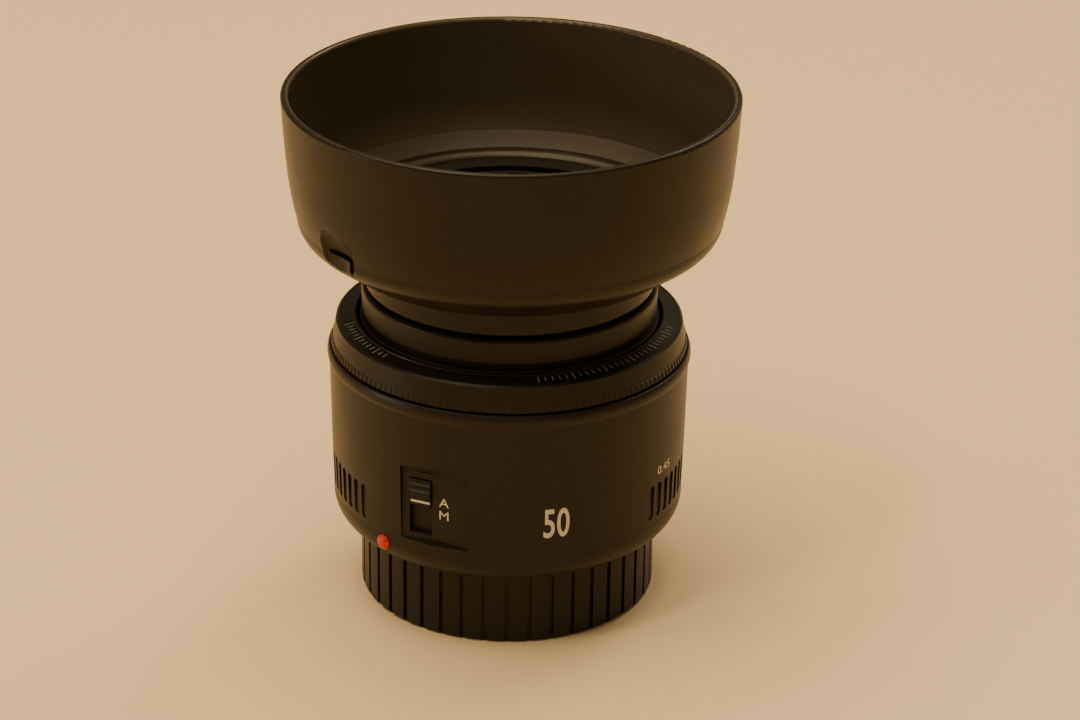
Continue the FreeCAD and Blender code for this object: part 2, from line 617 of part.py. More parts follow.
def make_focus_ring():
    """Smooth cone with a band of short ribs along its foot."""
    wall = turned([
        (0, RING_BOTTOM_Z), (RING_BOTTOM_R - 0.25, RING_BOTTOM_Z),
        (ring_wall_r(RING_BOTTOM_Z + 0.2), RING_BOTTOM_Z + 0.2),
        (ring_wall_r(RING_TOP_Z - 0.35), RING_TOP_Z - 0.35), (RING_TOP_R - 0.35, RING_TOP_Z),
        (31.5, RING_TOP_Z + 0.1), (0, RING_TOP_Z + 0.1),
    ])
    foot, low, high, head = RING_RIB_Z
    wires = [
        toothed_wire(ring_wall_r(z) - 0.4, ring_wall_r(z) + height, RING_RIBS, 0.66, 0.5, z)
        for z, height in (
            (foot, -0.15), (low, RING_RIB_HEIGHT), (high, RING_RIB_HEIGHT), (head, -0.15)
        )
    ]
    solid = wall.fuse(Part.makeLoft(wires, True, True))
    cavity = turned([
        (0, 40), (31.3, 40), (31.3, 53.3), (29.3 - RUN_GAP + 0.1, 53.3), (29.2, 50.2),
        (28.6, 50.2), (RING_BORE_R, 60), (0, 60),
    ])
    skirt = ring(RING_BORE_R, 29.2, 50.2, 53.4)
    seat = turned([
        (29.0, 53.9), (31.55, 53.9), (31.55, 56), (0, 56), (0, 53.9),
    ])
    return joined([solid.cut(cavity).cut(seat), skirt])


def make_name_ring():
    """Sloping front trim with a thin raised inner rim."""
    return turned([
        (RING_BORE_R, 53.9), (31.5, 53.9), (31.5, RING_TOP_Z + 0.05), (29.25, FRONT_Z - 0.25),
        (29.15, FRONT_Z - 0.05), (28.95, FRONT_Z), (28.75, FRONT_Z), (RING_BORE_R, FRONT_Z - 0.15),
    ])


def make_helicoid_drum():
    drum = turned([
        (DRUM_BORE_R, DRUM_BOTTOM_Z), (DRUM_R, DRUM_BOTTOM_Z), (DRUM_R, 43.4), (30.6, 43.4),
        (30.6, 53.3), (29.35, 53.3), (29.35, DRUM_TOP_Z), (DRUM_BORE_R, DRUM_TOP_Z),
    ])
    teeth = gear(GEAR_MODULE, DRUM_TEETH, 22.0, 24.4, DRUM_BORE_R + 0.8, DRUM_PHASE, V(0, 0, 0))
    return joined([drum, teeth])


def make_drum_screws():
    """Short radial screws that hold the drum to the focus ring's skirt."""
    screws = []
    for azimuth in (30.0, 150.0, 270.0):
        out = side(azimuth)
        head = Part.makeCylinder(0.9, 0.5, out * 30.6 + V(0, 0, 47.2), out)
        screws.append(head)
    return Part.makeCompound(screws)


# ---- moving inner barrel ------------------------------------------------------------
CELL_R = 17.0
CELL_FLANGE_R = TAIL_BORE_R - FIT_GAP


def make_inner_barrel():
    tube = turned([
        (TAIL_BORE_R, TAIL_BOTTOM_Z), (TAIL_R, TAIL_BOTTOM_Z), (TAIL_R, TUBE_WEB_Z),
        (TUBE_R, TUBE_WEB_Z), (TUBE_R, TUBE_FRONT_Z - 0.2), (TUBE_R - 0.2, TUBE_FRONT_Z),
        (THREAD_R + 0.3, TUBE_FRONT_Z), (THREAD_R, TUBE_FRONT_Z - 0.3), (THREAD_R, 51.6),
        (25.4, 51.2), (25.4, 47.6), (TAIL_BORE_R, 47.6),
    ])
    ledge = ring(17.4, TAIL_BORE_R + 0.2, 38.4, 39.9)
    slot = block(19.0, 23.0, -1.6, 1.6, TAIL_BOTTOM_Z - 1, 31.0, 0.0)
    slots = around(slot, KEY_AZIMUTHS)
    return joined([tube, ledge]).cut(Part.makeCompound(slots))


def make_front_baffle():
    """Stepped black funnel in front of the first element."""
    steps = 5
    outer_r, inner_r = 24.6, 16.2
    top_z, bottom_z = 51.0, 46.0
    run = (outer_r - inner_r) / steps
    drop = (top_z - bottom_z) / steps
    outline = [(25.3, top_z)]
    for i in range(steps):
        outline.append((outer_r - i * run, top_z - i * drop))
        outline.append((outer_r - i * run - 0.25, top_z - (i + 1) * drop))
    outline.append((inner_r, bottom_z))
    outline += [
        (inner_r, bottom_z - 0.6), (18.6, bottom_z - 0.6), (TAIL_BORE_R - 0.1, 46.3),
        (TAIL_BORE_R - 0.1, 47.65), (25.3, 47.65),
    ]
    return turned(outline)


def make_front_cell():
    return turned([
        (11.55, 26.9), (CELL_R, 26.9), (CELL_R, 40.0), (CELL_FLANGE_R, 40.0),
        (CELL_FLANGE_R, 41.2), (CELL_R + 0.1, 41.2), (CELL_R + 0.1, 43.4), (16.5, 43.4),
        (16.5, 40.0), (14.55, 40.0), (14.55, 34.15), (12.45, 34.15), (12.45, 31.45),
        (11.55, 31.45),
    ])


def make_front_retaining_ring():
    body = turned([
        (13.7, 40.05), (16.45, 40.05), (16.45, 42.9), (15.6, 42.9), (13.7, 41.2),
    ])
    notch = Part.makeBox(40, 1.2, 1.0, V(-20, -0.6, 42.2))
    return body.cut(notch)


def lens(front_z, front_r, back_z, back_r, radius, front_land=None, back_land=None):
    """Glass element. A radius of curvature is positive where its centre lies behind the
    surface. A land is the radius beyond which a surface is a flat rim."""
    def height(z, curve, r):
        drop = abs(curve) - math.sqrt(curve * curve - r * r)
        return z - drop if curve > 0 else z + drop

    def surface(z, curve, land):
        reach = land if land else radius
        middle = (reach / 2, height(z, curve, reach / 2))
        return middle, (reach, height(z, curve, reach))

    front_middle, front_end = surface(front_z, front_r, front_land)
    back_middle, back_end = surface(back_z, back_r, back_land)
    outline = [(0, back_z), (back_middle[0], back_middle[1], back_end[0], back_end[1])]
    if back_land:
        outline.append((radius, back_end[1]))
    outline.append((radius, front_end[1]))
    if front_land:
        outline.append(front_end)
    outline.append((front_middle[0], front_middle[1], 0, front_z))
    return turned(outline)


# front vertex z, its curve, back vertex z, its curve, rim radius, front land, back land
ELEMENTS = {
    "lens_1": (42.5, 31.2, 38.5, 145.0, 14.5, None, None),
    "lens_2": (38.1, 19.6, 33.6, 37.0, 12.4, None, None),
    "lens_3": (32.4, 80.0, 31.0, 13.3, 11.5, None, 9.6),
    "lens_4": (20.5, -14.2, 19.2, 80.0, 9.8, 9.0, None),
    "lens_5": (19.2, 80.0, 13.0, -19.6, 11.2, None, None),
    "lens_6": (12.6, 160.0, 9.2, -36.0, 11.6, None, None),
}


def make_lens_spacer():
    return ring(12.0, 14.5, 34.2, 37.7)


def make_rear_cell():
    body = turned([
        (11.65, 10.2), (12.9, 10.2), (12.9, 22.6), (CELL_FLANGE_R, 22.6), (CELL_FLANGE_R, 23.6),
        (9.9, 23.6), (9.9, 18.75), (11.25, 18.4), (11.25, 16.4), (11.65, 16.4),
    ])
    motor_hole = rod(IRIS_MOTOR_R + 0.1, 22.0, 24.0, IRIS_MOTOR_AZIMUTH, IRIS_MOTOR_CIRCLE_R)
    return body.cut(motor_hole)


def make_rear_spacer():
    return turned([
        (10.6, 12.35), (11.6, 12.35), (11.6, 16.35), (10.6, 16.05),
    ])


def make_rear_retaining_ring():
    body = turned([(10.9, 9.4), (13.6, 9.4), (13.6, 10.15), (11.62, 10.15), (11.62, 11.0), (10.9, 10.7)])
    notch = Part.makeBox(40, 1.0, 0.5, V(-20, -0.5, 9.4))
    return body.cut(notch)


# ---- aperture unit ------------------------------------------------------------------
IRIS_RING_PITCH_R = IRIS_MODULE * IRIS_RING_TEETH / 2
IRIS_PINION_TEETH = PINION_TEETH
IRIS_MOTOR_CIRCLE_R = IRIS_RING_PITCH_R + IRIS_MODULE * IRIS_PINION_TEETH / 2
IRIS_MOTOR_AZIMUTH = 0.0
IRIS_MOTOR_R = 2.35
IRIS_RING_BOTTOM_Z = 24.0
IRIS_RING_TOP_Z = 24.7


def make_diaphragm_base():
    """Fixed plate above the blades, with a hole for each blade's pivot."""
    top_z = 26.85
    bottom_z = BLADE_STACK_Z + BLADES * BLADE_LAYER + 0.1
    plate = ring(8.6, CELL_FLANGE_R - 0.4, bottom_z, top_z)
    skirt = ring(18.9, CELL_FLANGE_R - 0.4, 24.0, bottom_z + 0.1)
    gap = block(14.0, 21.0, -2.6, 2.6, 23.0, bottom_z, IRIS_MOTOR_AZIMUTH)
    plate = joined([plate, skirt.cut(gap)])
    for azimuth in evenly(BLADES):
        plate = plate.cut(rod(PIVOT_PIN_R + FIT_GAP, bottom_z, top_z, azimuth, BLADE_PIVOT_R))
    return plate


def cam_place(share):
    """Place of the first blade's drive pin seen from the turning ring, as the share of
    the stopping-down movement runs from 0 to 1."""
    turn_blade = FreeCAD.Rotation(Z_AXIS, BLADE_TURN * share)
    turn_back = FreeCAD.Rotation(Z_AXIS, -APERTURE_RING_TURN * share)
    pivot = side(0) * BLADE_PIVOT_R
    pin = side(BLADE_PIN_STEP) * BLADE_PIVOT_R
    return turn_back.multVec(pivot + turn_blade.multVec(pin - pivot))


def make_cam_slot(half_width):
    """Curved slot that the first blade's drive pin runs along."""
    steps = 8
    path = [cam_place(i / steps) for i in range(steps + 1)]
    left, right = [], []
    for i, point in enumerate(path):
        along = path[min(i + 1, steps)] - path[max(i - 1, 0)]
        across = Z_AXIS.cross(along).normalize() * half_width
        left.append(point + across)
        right.append(point - across)
    outline = left + right[::-1]
    outline.append(outline[0])
    slot = Part.Face(Part.makePolygon(outline)).extrude(V(0, 0, 4))
    ends = [Part.makeCylinder(half_width, 4, end) for end in (path[0], path[-1])]
    slot = joined([slot] + ends)
    slot.translate(V(0, 0, IRIS_RING_BOTTOM_Z - 1))
    return slot


def make_aperture_ring():
    """Thin ring with a cam slot for each blade's drive pin and teeth on its rim."""
    phase = direction_between(V(0, 0, 0), side(IRIS_MOTOR_AZIMUTH))
    bore_r = 10.4
    body = gear(
        IRIS_MODULE, IRIS_RING_TEETH, IRIS_RING_BOTTOM_Z, IRIS_RING_TOP_Z, bore_r, phase, V(0, 0, 0)
    )
    slots = around(make_cam_slot(DRIVE_PIN_R + 0.12), evenly(BLADES))
    return body.cut(Part.makeCompound(slots))


def make_blade(index):
    """Crescent that turns about a pin near one end, one layer above the blade before."""
    bottom_z = BLADE_STACK_Z + index * BLADE_LAYER
    top_z = bottom_z + BLADE_THICKNESS
    half = BLADE_SPAN / 2
    leaf = sector(BLADE_INNER_R, BLADE_OUTER_R, bottom_z, top_z, half, half)
    root = sector(12.6, 14.9, bottom_z, top_z, BLADE_PIN_STEP / 2, BLADE_PIN_STEP / 2 + 3.0)
    pivot = rod(PIVOT_PIN_R, bottom_z, 26.8, 0.0, BLADE_PIVOT_R)
    drive = rod(DRIVE_PIN_R, IRIS_RING_BOTTOM_Z + 0.05, top_z, BLADE_PIN_STEP, BLADE_PIVOT_R)
    blade = joined([leaf, root, pivot, drive])
    blade.rotate(V(0, 0, 0), Z_AXIS, 360.0 * index / BLADES)
    return blade


def make_aperture_motor():
    can = rod(IRIS_MOTOR_R, 17.6, 23.5, IRIS_MOTOR_AZIMUTH, IRIS_MOTOR_CIRCLE_R)
    bore = rod(0.5, 20.0, 23.5, IRIS_MOTOR_AZIMUTH, IRIS_MOTOR_CIRCLE_R)
    terminal = block(12.95, 15.6, -1.6, 1.6, 18.2, 18.9, IRIS_MOTOR_AZIMUTH)
    return joined([can, terminal]).cut(bore)


def make_aperture_pinion():
    centre = side(IRIS_MOTOR_AZIMUTH) * IRIS_MOTOR_CIRCLE_R
    ring_phase = direction_between(V(0, 0, 0), centre)
    phase = mate_phase(ring_phase, IRIS_RING_TEETH, IRIS_PINION_TEETH, ring_phase)
    wheel = gear(IRIS_MODULE, IRIS_PINION_TEETH, 23.8, 24.9, 0, phase, centre)
    shaft = rod(0.4, 20.5, 23.9, IRIS_MOTOR_AZIMUTH, IRIS_MOTOR_CIRCLE_R)
    return joined([wheel, shaft])


# ---- hood adapter and hood ----------------------------------------------------------
def make_adapter_ring():
    """Threaded foot in the filter thread, a plain band, and a spigot with a latch groove."""
    foot_z = TUBE_FRONT_Z + FIT_GAP
    return turned([
        (ADAPTER_BORE_R + 0.6, 53.2), (THREAD_R - FIT_GAP, 53.2), (THREAD_R - FIT_GAP, foot_z),
        (ADAPTER_FOOT_R, foot_z), (ADAPTER_FOOT_R, ADAPTER_BOTTOM_Z),
        (ADAPTER_R - 0.25, ADAPTER_BOTTOM_Z), (ADAPTER_R, ADAPTER_BOTTOM_Z + 0.3),
        (ADAPTER_R, 60.6), (27.4, 61.3, 26.8, ADAPTER_TOP_Z), (SPIGOT_R, ADAPTER_TOP_Z),
        (SPIGOT_R, 70.4), (LATCH_GROOVE_R, 70.8), (LATCH_GROOVE_R, 73.2), (SPIGOT_R, 73.3),
        (SPIGOT_R - 0.3, SPIGOT_TOP_Z), (ADAPTER_BORE_R, SPIGOT_TOP_Z),
        (ADAPTER_BORE_R - 0.4, 66.0), (ADAPTER_BORE_R, 56.0),
    ])


def hood_outer_wall():
    """Outside of the hood from the foot of its neck to its rim."""
    return [
        (HOOD_NECK_R - 0.3, HOOD_BOTTOM_Z), (HOOD_NECK_R, HOOD_BOTTOM_Z + 0.3),
        (HOOD_NECK_R, 66.6), (27.15, 67.05, 27.6, 67.2), (31.9, 68.25), (37.0, 71.95),
        (38.75, 73.6, 39.45, 76.0), (40.33, 80.0, 40.95, 84.3), (41.5, 91.0, 41.95, 98.2),
        (41.75, 98.85, 41.2, HOOD_TOP_Z),
    ]


def hood_inner_wall():
    """Inside of the hood from its rim to the bore of its neck."""
    return [
        (40.7, 98.85, 40.45, 98.3), (40.0, 91.0, 39.35, 84.3), (38.7, 80.3, 38.1, 78.4),
        (37.55, 77.0), (37.5, 76.2), (36.9, 74.2, 35.6, 73.0), (30.0, LATCH_FLOOR_Z),
        (HOOD_NECK_BORE_R, LATCH_FLOOR_Z),
    ]


LATCH_FLOOR_Z = 69.3
BUTTON_HALF_WIDTH = 3.2
BUTTON_BOTTOM_Z = 72.5
BUTTON_TOP_Z = 76.3
FINGER_R = 9.5              # of the dishes in the hood and in its buttons
FINGER_Z = 75.4
SCOOP_CENTRE_R = 47.4


def finger_sphere(azimuth, centre_r):
    return Part.makeSphere(FINGER_R, side(azimuth) * centre_r + V(0, 0, FINGER_Z))


def make_hood_shell():
    shell = turned([(HOOD_NECK_BORE_R, HOOD_BOTTOM_Z)] + hood_outer_wall() + hood_inner_wall())
    half = BUTTON_HALF_WIDTH + 0.3
    for azimuth in (BUTTON_AZIMUTH, BUTTON_AZIMUTH + 180.0):
        opening = block(33.5, 41.0, -half, half, BUTTON_BOTTOM_Z - 0.6, BUTTON_TOP_Z + 0.3, azimuth)
        spring_post = block(30.2, 31.0, 6.6, 9.6, LATCH_FLOOR_Z, 73.0, azimuth)
        shell = joined([shell.cut(finger_sphere(azimuth, SCOOP_CENTRE_R)).cut(opening), spring_post])
    return shell


def make_hood_inner_ring():
    """Annular cover over the latches, with a rounded bead round the opening."""
    return turned([
        (37.4, 76.7), (37.4, 77.3), (32.95, 75.35), (32.8, 74.95), (32.5, 74.95),
        (31.05, 75.55, 29.5, 74.8), (29.3, 74.2), (26.2, 74.1), (26.2, 73.6), (32.6, 73.6),
        (33.1, 74.2),
    ])


LATCH_RING_R = 28.2
LATCH_RING_BORE_R = 26.8
LATCH_THICKNESS = 0.8


def make_latch(azimuth, bottom_z):
    """Sliding ring round the adapter's spigot: the button is on one side, and the claw
    that holds the groove is on the other."""
    top_z = bottom_z + LATCH_THICKNESS
    band = ring(LATCH_RING_BORE_R, LATCH_RING_R, bottom_z, top_z)
    claw = sector(LATCH_GROOVE_R + 0.3, LATCH_RING_BORE_R + 0.2, bottom_z, top_z, azimuth + 180.0, 22.0)
    arm = block(27.6, 32.2, -2.4, 2.4, bottom_z, top_z, azimuth)
    riser = block(31.5, 32.2, -2.4, 2.4, bottom_z, 73.3, azimuth)
    stem = block(31.5, 37.4, -2.4, 2.4, BUTTON_BOTTOM_Z, 73.3, azimuth)
    profile = Part.makePolygon([
        V(37.0, 0, BUTTON_BOTTOM_Z), V(40.0, 0, BUTTON_BOTTOM_Z), V(40.0, 0, BUTTON_TOP_Z),
        V(39.2, 0, BUTTON_TOP_Z), V(37.0, 0, 75.3), V(37.0, 0, BUTTON_BOTTOM_Z),
    ])
    head = Part.Face(profile).extrude(V(0, 2 * BUTTON_HALF_WIDTH, 0))
    head = place(head.translated(V(0, -BUTTON_HALF_WIDTH, 0)), azimuth)
    envelope = turned([(0, HOOD_BOTTOM_Z)] + hood_outer_wall() + [(0, HOOD_TOP_Z)])
    head = head.common(envelope).cut(finger_sphere(azimuth, SCOOP_CENTRE_R + 0.6))
    return joined([band, claw, arm, riser, stem, head])


def make_latch_spring(azimuth, z):
    """Coil spring at its pressed length, from a post of the hood towards a latch ring."""
    wire_r, coil_r, turns, length = 0.12, 0.62, 4, 1.4
    start = 30.2 - length
    coils = []
    for i in range(turns):
        middle = V(start + wire_r + i * (length - 2 * wire_r) / (turns - 1), 8.1, z)
        coils.append(Part.makeTorus(coil_r, wire_r, middle, V(1, 0, 0)))
    spine = Part.makeCylinder(wire_r, length, V(start, 8.1 + coil_r, z), V(1, 0, 0))
    return place(joined(coils + [spine]), azimuth)


# ---- output -------------------------------------------------------------------------
def make_parts():
    parts = {
        "rear_cap": make_rear_cap(),
        "mount_plate": make_mount_plate(),
        "mount_screws": make_mount_screws(),
        "rear_baffle": make_rear_baffle(),
        "contact_block": make_contact_block(),
        "contact_pins": make_contact_pins(),
        "contact_flex": make_contact_flex(),
        "outer_barrel": make_outer_barrel(),
        "index_dot": make_index_dot(),
        "switch_plate": make_switch_plate(),
        "switch_knob": make_switch_knob(),
        "switch_slider": make_switch_slider(),
        "switch_contacts": make_switch_contacts(),
        "chassis": make_chassis(),
        "circuit_board": make_circuit_board(),
        "board_parts": make_board_parts(),
        "gearbox_plate": make_gearbox_plate(),
        "gearbox_cover": make_gearbox_cover(),
        "gear_axles": make_gear_axles(),
        "af_motor": make_af_motor(),
        "output_gear": make_output_gear(),
        "idler_gear": make_idler_gear(),
        "motor_pinion": make_motor_pinion(),
        "focus_ring": make_focus_ring(),
        "name_ring": make_name_ring(),
        "helicoid_drum": make_helicoid_drum(),
        "drum_screws": make_drum_screws(),
        "inner_barrel": make_inner_barrel(),
        "front_baffle": make_front_baffle(),
        "front_cell": make_front_cell(),
        "front_retaining_ring": make_front_retaining_ring(),
        "lens_spacer": make_lens_spacer(),
        "diaphragm_base": make_diaphragm_base(),
        "aperture_ring": make_aperture_ring(),
        "aperture_motor": make_aperture_motor(),
        "aperture_pinion": make_aperture_pinion(),
        "rear_cell": make_rear_cell(),
        "rear_spacer": make_rear_spacer(),
        "rear_retaining_ring": make_rear_retaining_ring(),
        "adapter_ring": make_adapter_ring(),
        "hood_shell": make_hood_shell(),
        "hood_inner_ring": make_hood_inner_ring(),
        "hood_latch_left": make_latch(BUTTON_AZIMUTH, 71.1),
        "hood_latch_right": make_latch(BUTTON_AZIMUTH + 180.0, 72.1),
        "latch_spring_left": make_latch_spring(BUTTON_AZIMUTH + 180.0, 71.5),
        "latch_spring_right": make_latch_spring(BUTTON_AZIMUTH, 72.5),
    }
    for name, values in ELEMENTS.items():
        parts[name] = lens(*values)
    for index in range(BLADES):
        parts["blade_%d" % (index + 1)] = make_blade(index)
    return parts


os.makedirs("parts", exist_ok=True)
for node, shape in make_parts().items():
    shape.exportStep("parts/%s.step" % node)
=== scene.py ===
"""Looks of a standard prime camera lens with its hood and rear cap, around its CAD model.

Lengths are in metres. The optical axis is Z, and the index side of the barrel faces -Y.
An azimuth is counted in degrees from -Y, positive towards +X.
"""
import json
import math

import bmesh
import bpy
from mathutils import Matrix, Vector
from mathutils.bvhtree import BVHTree


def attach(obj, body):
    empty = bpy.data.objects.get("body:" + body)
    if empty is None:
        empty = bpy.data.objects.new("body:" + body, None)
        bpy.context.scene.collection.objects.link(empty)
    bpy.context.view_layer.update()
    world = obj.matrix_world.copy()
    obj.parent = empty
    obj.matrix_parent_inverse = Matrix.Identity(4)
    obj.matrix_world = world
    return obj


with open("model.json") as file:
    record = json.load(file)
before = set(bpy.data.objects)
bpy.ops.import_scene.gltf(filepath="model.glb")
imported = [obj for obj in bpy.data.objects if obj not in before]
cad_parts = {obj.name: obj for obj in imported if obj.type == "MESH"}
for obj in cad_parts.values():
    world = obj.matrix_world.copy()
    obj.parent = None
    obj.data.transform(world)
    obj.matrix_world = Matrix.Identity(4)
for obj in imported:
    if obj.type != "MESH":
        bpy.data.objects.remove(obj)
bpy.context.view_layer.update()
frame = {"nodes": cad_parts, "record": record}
scene = bpy.context.scene
MM = 0.001

FLAT_DOT = 0.995            # normal against rounded normal: a flat, and a sharp edge
SHARP_DOT = 0.80
INWARD_DOT = -0.005         # place times normal, in metres: below it, a face looks inwards
PAINTED_WARM_CAST = 0.30               # painted warm cast of the light, which makes the blacks lean a little to brown

ADAPTER_BORE_EDGE = 24.3 * MM
HOOD_LEDGE_R = 29.3 * MM
HOOD_LEDGE_FOOT_Z = 73.0 * MM
HOOD_WALL_R = 37.5 * MM


# ---- node helpers -------------------------------------------------------------------
class Graph:
    """A material's node tree, with short ways to add and join nodes."""

    def __init__(self, name):
        self.material = bpy.data.materials.new(name)
        self.material.use_nodes = True
        self.tree = self.material.node_tree
        self.shader = self.tree.nodes["Principled BSDF"]
        self.coordinates = self.tree.nodes.new("ShaderNodeTexCoord").outputs
        self.place = self.coordinates["Object"]

    def node(self, kind, inputs=None, **settings):
        new = self.tree.nodes.new(kind)
        for key, value in settings.items():
            setattr(new, key, value)
        for key, value in (inputs or {}).items():
            self.feed(new.inputs[key], value)
        return new

    def feed(self, socket, value):
        if isinstance(value, bpy.types.NodeSocket):
            self.tree.links.new(value, socket)
        else:
            socket.default_value = value

    def noise(self, scale, detail=3.0, roughness=0.55):
        new = self.node("ShaderNodeTexNoise", {
            "Vector": self.place, "Scale": scale, "Detail": detail, "Roughness": roughness})
        return new.outputs["Fac"]

    def span(self, value, from_low, from_high, low, high):
        """A value carried from one range to another, and held at the ends."""
        new = self.node("ShaderNodeMapRange", {
            "Value": value, "From Min": from_low, "From Max": from_high, "To Min": low, "To Max": high})
        return new.outputs["Result"]

    def maths(self, operation, first, second):
        new = self.node("ShaderNodeMath", operation=operation)
        self.feed(new.inputs[0], first)
        self.feed(new.inputs[1], second)
        return new.outputs[0]

    def mix(self, factor, first, second):
        new = self.node("ShaderNodeMix", data_type="RGBA")
        self.feed(new.inputs["Factor"], factor)
        self.feed(new.inputs[6], first)
        self.feed(new.inputs[7], second)
        return new.outputs[2]

    def bump(self, height, distance):
        new = self.node("ShaderNodeBump", {"Height": height, "Distance": distance, "Strength": 1.0})
        return new.outputs["Normal"]

    def edges(self, radius):
        """1 along sharp outer edges and 0 on flats."""
        soft = self.node("ShaderNodeBevel", {"Radius": radius}, samples=4).outputs["Normal"]
        flat = self.node("ShaderNodeNewGeometry").outputs["Normal"]
        dot = self.node("ShaderNodeVectorMath", {0: soft, 1: flat}, operation="DOT_PRODUCT")
        return self.span(dot.outputs["Value"], FLAT_DOT, SHARP_DOT, 0.0, 1.0)

    def inside(self, radius, above):
        """1 within a radius of the optical axis and above a height, and 0 elsewhere."""
        parts = self.node("ShaderNodeSeparateXYZ", {"Vector": self.place}).outputs
        square_x = self.maths("POWER", parts["X"], 2.0)
        square_y = self.maths("POWER", parts["Y"], 2.0)
        near = self.maths("LESS_THAN", self.maths("ADD", square_x, square_y), radius ** 2)
        return self.maths("MULTIPLY", near, self.maths("GREATER_THAN", parts["Z"], above))

    def facing_axis(self):
        """1 on inner walls, whose faces look towards the optical axis, and 0 on outer ones."""
        flat = self.node("ShaderNodeVectorMath", {0: self.place, 1: (1.0, 1.0, 0.0)}, operation="MULTIPLY")
        dot = self.node("ShaderNodeVectorMath", operation="DOT_PRODUCT")
        self.feed(dot.inputs[0], flat.outputs["Vector"])
        self.feed(dot.inputs[1], self.coordinates["Normal"])
        return self.maths("LESS_THAN", dot.outputs["Value"], INWARD_DOT)

    def finish(self, **sockets):
        """The material, with the shader's sockets fed; an underscore stands for a space."""
        for key, value in sockets.items():
            self.feed(self.shader.inputs[key.replace("_", " ")], value)
        return self.material


def grey(value):
    return (value, value, value, 1.0)


# Grey with the painted warm cast of the light.
def warm_cast_grey(value):
    return (value * (1 + PAINTED_WARM_CAST), value, value * (1 - PAINTED_WARM_CAST), 1.0)


def opaque(colour, share=1.0):
    """RGBA of a colour, darkened to a share of itself."""
    return tuple(channel * share for channel in colour) + (1.0,)


# ---- materials ----------------------------------------------------------------------
PLASTIC_SPECULAR = 0.22
EDGE_RADIUS = 0.16 * MM     # of the rounding that marks rubbed edges, and edges with painted highlights
EDGE_WEAR_HIGHLIGHT_SHARE = 3.0          # shade of a rubbed edge, which also stands for a painted highlight, against the plastic's
DUST_SHADE = 0.10
DULL_SHADE = 0.006
DULL_ROUGHNESS = 0.9
LEDGE_PAINTED_SHADE_SHARE = 0.55          # painted shade on the hood's inner ledge, against the shade of its lining
LINING_POLISH = 0.13        # taken off the roughness on the hood's inner wall


def moulded_plastic(name, shade, roughness, grain, depth, edge_wear_and_highlight=0.3, dull=None, matte_lining_and_haze=None):
    """Black moulded plastic: a fine eroded grain, uneven gloss from handling, faint dust
    and edges rubbed a little brighter and smoother; a strong wear setting also paints
    highlights on the edges. dull is the radius and height of a region that is flat black
    instead, and the lining shade is that of matte inner walls, painted lighter with the
    haze of stray light, and darker with painted shade on the ledge at their foot."""
    g = Graph(name)
    fine = g.noise(1 / (grain * MM), 2.0, 0.6)
    broad = g.noise(90.0, 4.0, 0.6)
    specks = g.span(g.noise(2600.0, 1.0), 0.72, 0.78, 0.0, 0.25)
    edge = g.edges(EDGE_RADIUS)
    blotches = g.span(broad, 0.3, 0.7, 0.0, 1.0)
    base = g.mix(blotches, warm_cast_grey(shade * 0.86), warm_cast_grey(shade * 1.12))
    # Edges lighter from wear; a strong wear setting also paints highlights on them.
    rubbed_and_highlit = g.mix(g.maths("MULTIPLY", edge, edge_wear_and_highlight), base, warm_cast_grey(shade * EDGE_WEAR_HIGHLIGHT_SHARE))
    colour = g.mix(specks, rubbed_and_highlit, warm_cast_grey(DUST_SHADE))
    gloss = g.span(broad, 0.25, 0.75, roughness - 0.05, roughness + 0.06)
    gloss = g.maths("SUBTRACT", gloss, g.maths("MULTIPLY", edge, 0.10))
    # Inner walls are matte and painted lighter with the haze of stray light; the ledge at their foot is
    # painted darker as shade.
    if matte_lining_and_haze:
        inner = g.facing_axis()
        shaded_ledge = g.inside(HOOD_WALL_R, HOOD_LEDGE_FOOT_Z)
        lining_haze_and_shade = g.mix(shaded_ledge, warm_cast_grey(matte_lining_and_haze), warm_cast_grey(matte_lining_and_haze * LEDGE_PAINTED_SHADE_SHARE))
        colour = g.mix(inner, colour, lining_haze_and_shade)
        wall = g.maths("MAXIMUM", g.maths("SUBTRACT", inner, shaded_ledge), 0.0)
        gloss = g.maths("SUBTRACT", gloss, g.maths("MULTIPLY", wall, LINING_POLISH))
    if dull:
        mask = g.inside(*dull)
        colour = g.mix(mask, colour, warm_cast_grey(DULL_SHADE))
        gloss = g.maths("MAXIMUM", gloss, g.maths("MULTIPLY", mask, DULL_ROUGHNESS))
    g.shader.inputs["Specular IOR Level"].default_value = PLASTIC_SPECULAR
    return g.finish(Base_Color=colour, Roughness=gloss, Normal=g.bump(fine, depth * MM))


def dull_black(name):
    """Light-absorbing flocked or blasted black."""
    g = Graph(name)
    fine = g.noise(5200.0, 2.0)
    shade = g.mix(fine, grey(0.004), grey(0.011))
    return g.finish(Base_Color=shade, Roughness=0.85, Normal=g.bump(fine, 0.05 * MM))


def metal(name, colour, roughness):
    """Plated or machined metal with a fine grain."""
    g = Graph(name)
    fine = g.noise(4000.0, 2.0)
    broad = g.noise(260.0, 3.0)
    base = g.mix(g.span(broad, 0.3, 0.7, 0.0, 1.0), opaque(colour, 0.7), opaque(colour))
    gloss = g.span(fine, 0.3, 0.7, roughness - 0.06, roughness + 0.08)
    return g.finish(Base_Color=base, Metallic=1.0, Roughness=gloss, Normal=g.bump(fine, 0.01 * MM))


def coloured_plastic(name, colour, roughness):
    """Glossy moulded plastic in a plain colour, slightly mottled."""
    g = Graph(name)
    broad = g.noise(1800.0, 3.0)
    base = g.mix(g.span(broad, 0.35, 0.65, 0.0, 1.0), opaque(colour, 0.72), opaque(colour))
    gloss = g.span(broad, 0.3, 0.7, roughness - 0.05, roughness + 0.08)
    return g.finish(Base_Color=base, Roughness=gloss, Normal=g.bump(broad, 0.008 * MM))


